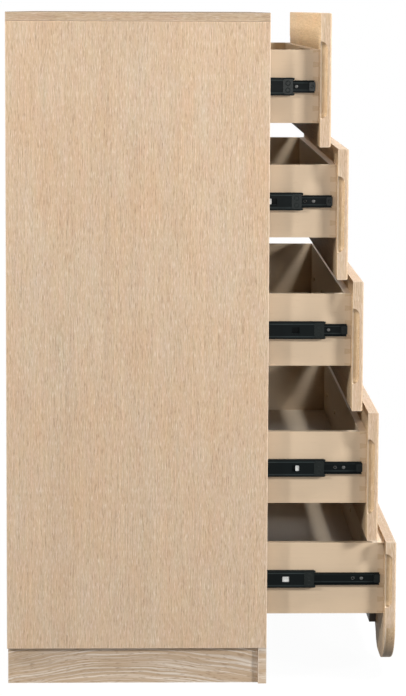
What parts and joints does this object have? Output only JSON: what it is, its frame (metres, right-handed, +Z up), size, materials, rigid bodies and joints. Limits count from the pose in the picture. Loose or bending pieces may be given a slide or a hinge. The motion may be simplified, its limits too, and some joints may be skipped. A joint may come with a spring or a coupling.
{
  "type": "block front chest",
  "caption": "Tall chest of full-overlay drawers on a recessed plinth, with scooped finger pulls, dovetailed boxes on telescopic slides and a footed bottom front.",
  "frame": {"origin": "on the floor, under the middle of the case's footprint, at the underside of the plinth's centre rail", "axes": "+Z up, +X to the right of someone facing the drawers, -Y the way the drawers open; at rest the drawers stand open in steps as pictured"},
  "size_m": [0.95, 0.779, 1.345],
  "materials": {
    "case_veneer": "pale limed oak veneer, matt",
    "front_veneer": "pale limed oak veneer, matt",
    "plinth_veneer": "limed oak veneer, flat cut",
    "box_wood": "planed hardwood, clear lacquer",
    "plywood": "birch-faced sheet",
    "slide_steel": "black coated steel",
    "screw_steel": "zinc plated"
  },
  "bodies": {
    "case": {"top_panel": "case_veneer", "left_side_panel": "case_veneer", "right_side_panel": "case_veneer", "bottom_panel": "case_veneer", "back_panel": "plywood", "cross_rails": "box_wood", "plinth_front_board": "plinth_veneer", "plinth_left_board": "plinth_veneer", "plinth_right_board": "plinth_veneer", "plinth_back_board": "plinth_veneer", "plinth_centre_rail": "box_wood", "plinth_corner_blocks": "box_wood", "case_slide_rails": "slide_steel"},
    "bottom_drawer": {"bottom_drawer_front": "front_veneer", "bottom_drawer_box_front": "box_wood", "bottom_drawer_left_side": "box_wood", "bottom_drawer_right_side": "box_wood", "bottom_drawer_box_back": "box_wood", "bottom_drawer_base": "plywood", "bottom_drawer_slide_rails": "slide_steel", "bottom_drawer_cleat": "front_veneer"},
    "bottom_middle_rails": {"bottom_middle_slide_rails": "slide_steel"},
    "fourth_drawer": {"fourth_drawer_front": "front_veneer", "fourth_drawer_box_front": "box_wood", "fourth_drawer_left_side": "box_wood", "fourth_drawer_right_side": "box_wood", "fourth_drawer_box_back": "box_wood", "fourth_drawer_base": "plywood", "fourth_drawer_slide_rails": "slide_steel"},
    "fourth_middle_rails": {"fourth_middle_slide_rails": "slide_steel"},
    "third_drawer": {"third_drawer_front": "front_veneer", "third_drawer_box_front": "box_wood", "third_drawer_left_side": "box_wood", "third_drawer_right_side": "box_wood", "third_drawer_box_back": "box_wood", "third_drawer_base": "plywood", "third_drawer_slide_rails": "slide_steel"},
    "third_middle_rails": {"third_middle_slide_rails": "slide_steel"},
    "second_drawer": {"second_drawer_front": "front_veneer", "second_drawer_box_front": "box_wood", "second_drawer_left_side": "box_wood", "second_drawer_right_side": "box_wood", "second_drawer_box_back": "box_wood", "second_drawer_base": "plywood", "second_drawer_slide_rails": "slide_steel"},
    "second_middle_rails": {"second_middle_slide_rails": "slide_steel"},
    "top_drawer": {"top_drawer_front": "front_veneer", "top_drawer_box_front": "box_wood", "top_drawer_left_side": "box_wood", "top_drawer_right_side": "box_wood", "top_drawer_box_back": "box_wood", "top_drawer_base": "plywood", "top_drawer_slide_rails": "slide_steel"},
    "top_middle_rails": {"top_middle_slide_rails": "slide_steel"}
  },
  "joints": [
    {"name": "bottom_drawer_slide", "type": "slide", "parent": "case", "child": "bottom_drawer", "axis": [0, -1, 0], "range_m": [-0.236, 0.214]},
    {"name": "bottom_middle_rails_slide", "type": "slide", "parent": "case", "child": "bottom_middle_rails", "axis": [0, -1, 0], "range_m": [-0.1045, 0.09481]},
    {"name": "fourth_drawer_slide", "type": "slide", "parent": "case", "child": "fourth_drawer", "axis": [0, -1, 0], "range_m": [-0.198, 0.252]},
    {"name": "fourth_middle_rails_slide", "type": "slide", "parent": "case", "child": "fourth_middle_rails", "axis": [0, -1, 0], "range_m": [-0.1225, 0.15577]},
    {"name": "third_drawer_slide", "type": "slide", "parent": "case", "child": "third_drawer", "axis": [0, -1, 0], "range_m": [-0.165, 0.285]},
    {"name": "third_middle_rails_slide", "type": "slide", "parent": "case", "child": "third_middle_rails", "axis": [0, -1, 0], "range_m": [-0.1205, 0.20777]},
    {"name": "second_drawer_slide", "type": "slide", "parent": "case", "child": "second_drawer", "axis": [0, -1, 0], "range_m": [-0.133, 0.317]},
    {"name": "second_middle_rails_slide", "type": "slide", "parent": "case", "child": "second_middle_rails", "axis": [0, -1, 0], "range_m": [-0.0735, 0.17449]},
    {"name": "top_drawer_slide", "type": "slide", "parent": "case", "child": "top_drawer", "axis": [0, -1, 0], "range_m": [-0.097, 0.353]},
    {"name": "top_middle_rails_slide", "type": "slide", "parent": "case", "child": "top_middle_rails", "axis": [0, -1, 0], "range_m": [-0.0545, 0.19701]}
  ],
  "couplings": [
    {"joint": "bottom_middle_rails_slide", "follows": "bottom_drawer_slide", "ratio": 0.44068},
    {"joint": "fourth_middle_rails_slide", "follows": "fourth_drawer_slide", "ratio": 0.61616},
    {"joint": "third_middle_rails_slide", "follows": "third_drawer_slide", "ratio": 0.72727},
    {"joint": "second_middle_rails_slide", "follows": "second_drawer_slide", "ratio": 0.54887},
    {"joint": "top_middle_rails_slide", "follows": "top_drawer_slide", "ratio": 0.5567}
  ]
}
